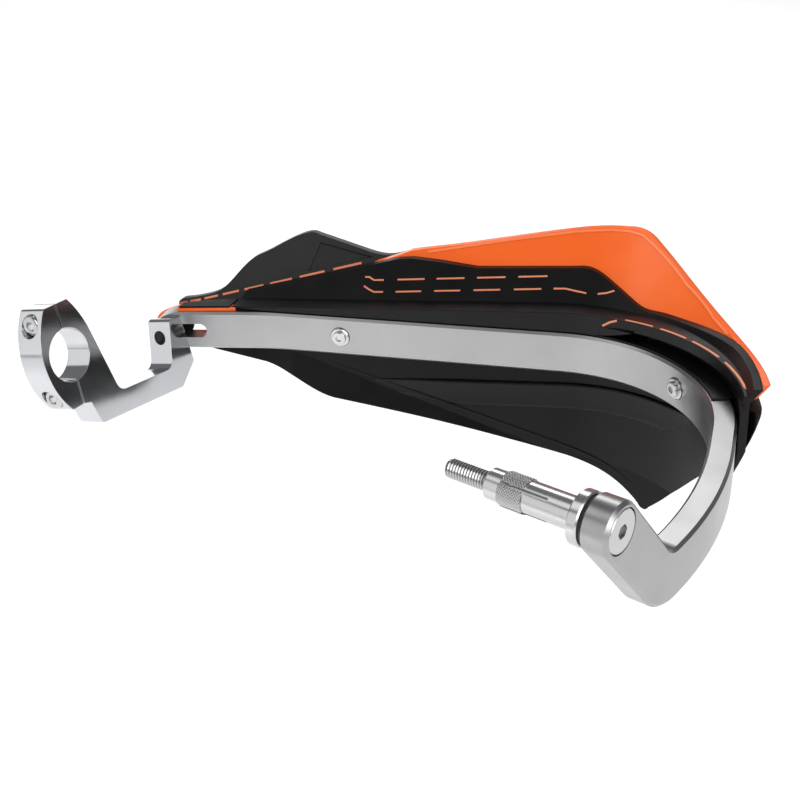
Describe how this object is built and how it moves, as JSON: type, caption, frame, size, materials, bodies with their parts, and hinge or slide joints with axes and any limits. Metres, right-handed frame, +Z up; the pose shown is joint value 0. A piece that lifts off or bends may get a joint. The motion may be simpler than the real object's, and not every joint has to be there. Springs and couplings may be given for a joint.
{
  "type": "motorcycle hand guard",
  "caption": "Right-hand motorcycle hand guard: an aluminium bar bent round the grip, with a handlebar clamp, an expanding bar end and a black shield under an orange deflector.",
  "frame": {"origin": "middle of the handlebar clamp's bore, halfway across its width", "axes": "+X outboard along the guard, +Y forward in the riding direction, +Z up"},
  "size_m": [0.2866, 0.2191, 0.1074],
  "materials": {
    "bar_aluminium": "satin, bead blasted",
    "bracket_aluminium": "polished",
    "bright_steel": "bright plated",
    "black_plastic": "satin moulded",
    "orange_plastic": "gloss moulded",
    "black_steel": "black coated",
    "insert_brass": "turned",
    "seal_rubber": "matte"
  },
  "bodies": {
    "root": {"guard_bar": "bar_aluminium", "clamp_bracket": "bracket_aluminium", "clamp_cap": "bracket_aluminium", "clamp_screws": "bright_steel", "shield_screws": "bright_steel", "shield_washers": "bright_steel", "end_bolt": "bright_steel", "end_collar": "bright_steel", "expander_sleeve": "bright_steel", "expander_cone": "bright_steel", "shield": "black_plastic", "front_fin": "black_plastic", "deflector": "orange_plastic", "bracket_bolt": "black_steel", "bracket_washer": "black_steel", "deflector_screws": "black_steel", "fin_screws": "black_steel", "shield_inserts": "insert_brass", "end_seal": "seal_rubber"}
  },
  "joints": []
}
